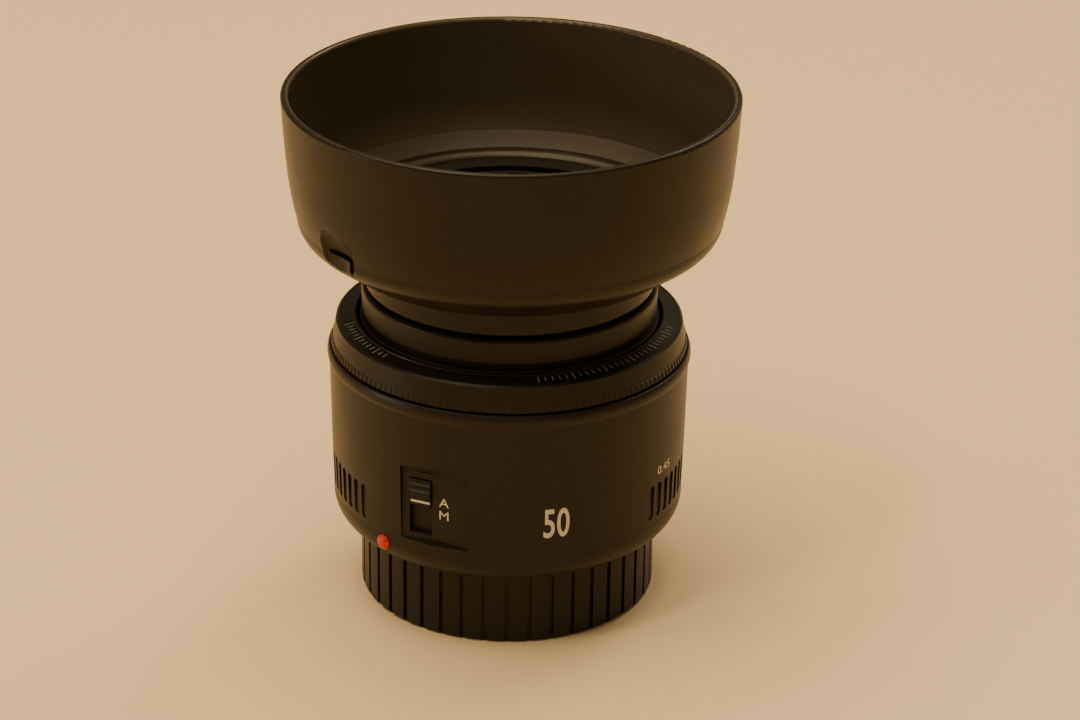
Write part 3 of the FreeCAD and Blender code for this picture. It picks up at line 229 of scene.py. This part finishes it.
def coated_glass(name):
    """Polished glass with a violet anti-reflection coating."""
    g = Graph(name)
    smear = g.noise(140.0, 2.0)
    gloss = g.span(smear, 0.45, 0.75, 0.0, 0.035)
    sockets = g.shader.inputs
    sockets["Transmission Weight"].default_value = 1.0
    sockets["Coat Weight"].default_value = 0.5
    sockets["Coat Roughness"].default_value = 0.02
    sockets["Coat Tint"].default_value = (0.72, 0.55, 1.0, 1.0)
    return g.finish(Base_Color=(0.93, 0.96, 0.95, 1.0), Roughness=gloss, IOR=1.52)


def printed_ink(name, colour):
    """Pad-printed ink, slightly broken by the grain below it."""
    g = Graph(name)
    grain = g.noise(7000.0, 2.0)
    base = g.mix(g.span(grain, 0.35, 0.6, 0.0, 1.0), opaque(colour, 0.62), opaque(colour))
    return g.finish(Base_Color=base, Roughness=0.55, Normal=g.bump(grain, 0.01 * MM))


MATERIALS = {
    "barrel_plastic": moulded_plastic("barrel_plastic", 0.0105, 0.38, 0.16, 0.012),
    # Strong edge lightening: wear, plus painted highlights on the rib ends and the ring's top edge.
    "ring_plastic": moulded_plastic("ring_plastic", 0.0105, 0.38, 0.14, 0.008, edge_wear_and_highlight=1.3),
    "cap_plastic": moulded_plastic("cap_plastic", 0.0100, 0.38, 0.20, 0.010, edge_wear_and_highlight=0.4),
    "mount_plastic": moulded_plastic("mount_plastic", 0.0100, 0.38, 0.15, 0.006),
    "adapter_plastic": moulded_plastic(
        "adapter_plastic", 0.0095, 0.38, 0.16, 0.008, dull=(ADAPTER_BORE_EDGE, 0.0)),
    # Its lining shade paints stray-light haze on the inner walls, with painted shade on the ledge.
    "hood_plastic": moulded_plastic(
        "hood_plastic", 0.0100, 0.35, 0.14, 0.007, edge_wear_and_highlight=0.15,
        dull=(HOOD_LEDGE_R, HOOD_LEDGE_FOOT_Z), matte_lining_and_haze=0.046),
    "switch_panel": moulded_plastic("switch_panel", 0.0110, 0.46, 0.12, 0.008),
    "knob_plastic": moulded_plastic("knob_plastic", 0.0100, 0.40, 0.12, 0.005, edge_wear_and_highlight=0.4),
    "inner_plastic": moulded_plastic("inner_plastic", 0.0220, 0.55, 0.22, 0.012),
    "baffle_black": dull_black("baffle_black"),
    "index_red": coloured_plastic("index_red", (0.62, 0.020, 0.012), 0.24),
    "coated_glass": coated_glass("coated_glass"),
    "contact_gold": metal("contact_gold", (0.86, 0.62, 0.26), 0.24),
    "screw_steel": metal("screw_steel", (0.10, 0.10, 0.10), 0.38),
    "motor_steel": metal("motor_steel", (0.58, 0.58, 0.57), 0.32),
    "spring_steel": metal("spring_steel", (0.55, 0.55, 0.54), 0.28),
    "blade_steel": metal("blade_steel", (0.035, 0.035, 0.037), 0.42),
    "gear_brass": metal("gear_brass", (0.74, 0.55, 0.27), 0.30),
    "gear_plastic": coloured_plastic("gear_plastic", (0.72, 0.69, 0.62), 0.36),
    "board_green": coloured_plastic("board_green", (0.02, 0.11, 0.045), 0.34),
    "chip_black": coloured_plastic("chip_black", (0.018, 0.018, 0.018), 0.40),
    "flex_film": coloured_plastic("flex_film", (0.42, 0.17, 0.04), 0.28),
}
PRINT_WHITE = printed_ink("print_white", (0.74, 0.68, 0.56))
PRINT_GREY = printed_ink("print_grey", (0.40, 0.37, 0.31))


SLOTS = {part["node"]: part["material_slot"] for part in frame["record"]["subparts"]}


def dress_cad_nodes():
    """Gives each CAD node its slot's material."""
    for name, thing in frame["nodes"].items():
        material = MATERIALS[SLOTS[name]]
        if not thing.material_slots:
            thing.data.materials.append(material)
        for slot in thing.material_slots:
            slot.material = material


dress_cad_nodes()


# ---- printed marks ------------------------------------------------------------------
INK = 0.03 * MM
INK_LIFT = 0.017 * MM
LONGEST_EDGE = 0.5 * MM     # of printed artwork, so that it follows a curve
CAPITAL_SHARE = 0.72        # height of a capital against the font's size
BARREL_R = 33.3 * MM
FAR = 100.0 * MM            # beyond the part, where rays start
SWITCH_AZIMUTH = -24.2
SWITCH_SLOT_SHIFT = -2.9 * MM
SHUTTER_DEPTH = 31.07 * MM
NAME_FACE_R = 30.3 * MM
TICK_STEP = 2.5
TICK_GROUPS = {"left": (-78.0, -48.0), "right": (10.0, 78.0)}


def body_of_node(node):
    """Name of the body that a CAD node belongs to."""
    bodies = frame["record"]["behaviour"]["bodies"]
    return next(name for name, nodes in bodies.items() if node in nodes)


def mesh_object(name, bm, material, node):
    """Object made from a bmesh, riding with a CAD node's body, in the given material."""
    mesh = bpy.data.meshes.new(name)
    bm.to_mesh(mesh)
    bm.free()
    mesh.materials.append(material)
    thing = bpy.data.objects.new(name, mesh)
    scene.collection.objects.link(thing)
    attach(thing, body_of_node(node))


def flat_text(characters, height, width=1.0, weight=0.0):
    """Thin solid lettering in the XY plane, standing on the origin, as a bmesh. width
    stretches it, and weight thickens its strokes by a share of its height."""
    curve = bpy.data.curves.new("lettering", "FONT")
    curve.body = characters
    curve.size = height / CAPITAL_SHARE
    curve.resolution_u = 5
    curve.extrude = INK / 2
    curve.offset = weight * height
    curve.space_character = 1.04
    holder = bpy.data.objects.new("lettering", curve)
    mesh = bpy.data.meshes.new_from_object(holder)
    bm = bmesh.new()
    bm.from_mesh(mesh)
    bmesh.ops.remove_doubles(bm, verts=bm.verts, dist=1e-7)
    places = [v.co.x for v in bm.verts]
    middle = (min(places) + max(places)) / 2
    for v in bm.verts:
        v.co.x = (v.co.x - middle) * width
    bpy.data.objects.remove(holder)
    bpy.data.curves.remove(curve)
    bpy.data.meshes.remove(mesh)
    return bm


def flat_bar(left, right, bottom, top):
    """Thin rectangle in the XY plane, as a bmesh."""
    bm = bmesh.new()
    bmesh.ops.create_cube(bm, size=1.0)
    for v in bm.verts:
        v.co.x = left if v.co.x < 0 else right
        v.co.y = bottom if v.co.y < 0 else top
        v.co.z *= INK
    return bm


def split_long_edges(bm, limit):
    """Triangulates a bmesh and halves its long edges, up to five times."""
    bmesh.ops.triangulate(bm, faces=bm.faces)
    for _ in range(5):
        long_edges = [e for e in bm.edges if e.calc_length() > limit]
        bmesh.ops.subdivide_edges(bm, edges=long_edges, cuts=1)
        bmesh.ops.triangulate(bm, faces=bm.faces)


def surface_of(node):
    """Search tree over a CAD node's faces."""
    mesh = frame["nodes"][node].data
    return BVHTree.FromPolygons([v.co for v in mesh.vertices], [p.vertices for p in mesh.polygons])


def side(azimuth):
    """Unit vector outwards from the optical axis."""
    angle = math.radians(azimuth)
    return Vector((math.sin(angle), -math.cos(angle), 0.0))


def towards_axis(azimuth, z):
    """Rays that print flat artwork round the barrel."""
    def ray(x, y):
        out = side(azimuth + math.degrees(x / BARREL_R))
        return out * FAR + Vector((0, 0, z + y)), -out
    return ray


def straight_in(azimuth, shift, z):
    """Rays that print flat artwork on a flat panel facing an azimuth, shifted across it."""
    out = side(azimuth)
    across = side(azimuth + 90.0)
    return lambda x, y: (out * FAR + across * (shift + x) + Vector((0, 0, z + y)), -out)


def straight_down(azimuth, radius):
    """Rays that print flat artwork on an upward face: y runs outwards."""
    def ray(x, y):
        out = side(azimuth + math.degrees(x / radius))
        return out * (radius + y) + Vector((0, 0, FAR)), Vector((0, 0, -1))
    return ray


def print_on(name, bm, node, ray, colour):
    """Lays flat artwork on a CAD node's surface, a little proud of it."""
    split_long_edges(bm, LONGEST_EDGE)
    surface = surface_of(node)
    for v in bm.verts:
        start, heading = ray(v.co.x, v.co.y)
        hit = surface.ray_cast(start, heading)[0]
        v.co = hit - heading * (v.co.z + INK_LIFT)
    mesh_object(name, bm, colour, node)


def print_barrel_marks():
    print_on("mark_focal_length", flat_text("50", 5.9 * MM, 0.62, 0.018), "outer_barrel",
             towards_axis(15.6, 24.6 * MM), PRINT_WHITE)
    print_on("mark_closest_focus", flat_text("0.45", 1.75 * MM, 1.1), "outer_barrel",
             towards_axis(60.0, 30.6 * MM), PRINT_WHITE)


def print_switch_marks():
    for name, letter, z in (("mark_auto", "A", 29.3 * MM), ("mark_manual", "M", 26.7 * MM)):
        print_on(name, flat_text(letter, 1.8 * MM, 1.15), "switch_plate",
                 straight_in(SWITCH_AZIMUTH, 1.75 * MM, z), PRINT_WHITE)


def print_index_line():
    line = flat_bar(-1.9 * MM, 1.9 * MM, 0.0, 0.42 * MM)
    print_on("mark_switch_index", line, "switch_knob",
             straight_in(SWITCH_AZIMUTH, SWITCH_SLOT_SHIFT, 29.4 * MM), PRINT_WHITE)


def make_switch_shutter():
    """Thin shutter that slides under the knob and covers the slit its stem runs in."""
    out = side(SWITCH_AZIMUTH)
    across = side(SWITCH_AZIMUTH + 90.0)
    half = 2.0 * MM
    bm = flat_bar(SWITCH_SLOT_SHIFT - half, SWITCH_SLOT_SHIFT + half, 26.1 * MM, 29.0 * MM)
    for v in bm.verts:
        v.co = out * (SHUTTER_DEPTH + v.co.z) + across * v.co.x + Vector((0, 0, v.co.y))
    mesh_object("switch_shutter", bm, MATERIALS["knob_plastic"], "switch_knob")


def print_name_face():
    """Plain graduation ticks round the front face, in two groups with longer fifth ticks."""
    for group, (first, last) in TICK_GROUPS.items():
        count = int((last - first) / TICK_STEP) + 1
        for i in range(count):
            length = 1.8 * MM if i % 5 == 0 else 1.1 * MM
            tick = flat_bar(-0.11 * MM, 0.11 * MM, -length / 2, length / 2)
            ray = straight_down(first + i * TICK_STEP, NAME_FACE_R)
            print_on("tick_%s_%02d" % (group, i), tick, "name_ring", ray, PRINT_GREY)


print_barrel_marks()
print_switch_marks()
print_index_line()
make_switch_shutter()
print_name_face()


# ---- camera, light and floor --------------------------------------------------------
CAMERA_PLACE = Vector((0.0, -0.5754, 0.3100))
CAMERA_LENS = 112.17        # mm, on a sensor 36 mm wide
CAMERA_DOWN = 24.71         # degrees
CAMERA_RIGHT = 0.58
CAMERA_ROLL = 0.80


def make_camera():
    data = bpy.data.cameras.new("camera")
    data.lens = CAMERA_LENS
    data.sensor_width = 36.0
    data.clip_start = 0.01
    holder = bpy.data.objects.new("camera", data)
    aim = (Matrix.Rotation(math.radians(-CAMERA_RIGHT), 4, "Z")
           @ Matrix.Rotation(math.radians(90.0 - CAMERA_DOWN), 4, "X")
           @ Matrix.Rotation(math.radians(CAMERA_ROLL), 4, "Z"))
    holder.matrix_world = Matrix.Translation(CAMERA_PLACE) @ aim
    scene.collection.objects.link(holder)
    scene.camera = holder


def make_floor():
    bm = bmesh.new()
    bmesh.ops.create_grid(bm, x_segments=1, y_segments=1, size=6.0)
    mesh = bpy.data.meshes.new("floor")
    bm.to_mesh(mesh)
    bm.free()
    g = Graph("floor")
    tone = g.noise(3.0, 2.0)
    base = g.mix(tone, (0.86, 0.65, 0.38, 1.0), (0.90, 0.69, 0.42, 1.0))
    mesh.materials.append(g.finish(Base_Color=base, Roughness=0.55))
    floor = bpy.data.objects.new("floor", mesh)
    scene.collection.objects.link(floor)


def soft_light(name, place, target, size, power, colour):
    data = bpy.data.lights.new(name, "AREA")
    data.shape = "RECTANGLE"
    data.size, data.size_y = size
    data.energy = power
    data.color = colour
    holder = bpy.data.objects.new(name, data)
    holder.location = place
    holder.rotation_euler = (Vector(target) - Vector(place)).to_track_quat("-Z", "Y").to_euler()
    scene.collection.objects.link(holder)


def make_lights():
    middle = (0.0, 0.0, 0.05)
    soft_light("window", (0.9, 1.1, 1.3), middle, (0.7, 0.5), 10.0, (1.0, 0.84, 0.60))
    soft_light("ceiling", (-0.3, 0.1, 1.9), middle, (1.6, 1.6), 44.0, (1.0, 0.79, 0.48))
    soft_light("low_left", (-1.2, -0.22, 0.27), (0.0, 0.0, 0.09), (0.20, 0.14), 2.5, (1.0, 0.88, 0.70))
    soft_light("lamp", (-0.36, -0.42, 0.98), middle, (0.14, 0.14), 2.2, (1.0, 0.84, 0.58))
    soft_light("front_fill", (0.5, -1.5, 0.9), middle, (1.2, 0.8), 0.8, (1.0, 0.82, 0.55))
    world = bpy.data.worlds.new("studio")
    world.use_nodes = True
    sky = world.node_tree.nodes["Background"]
    sky.inputs["Color"].default_value = (1.0, 0.75, 0.43, 1.0)
    sky.inputs["Strength"].default_value = 0.24
    scene.world = world


make_camera()
make_floor()
make_lights()
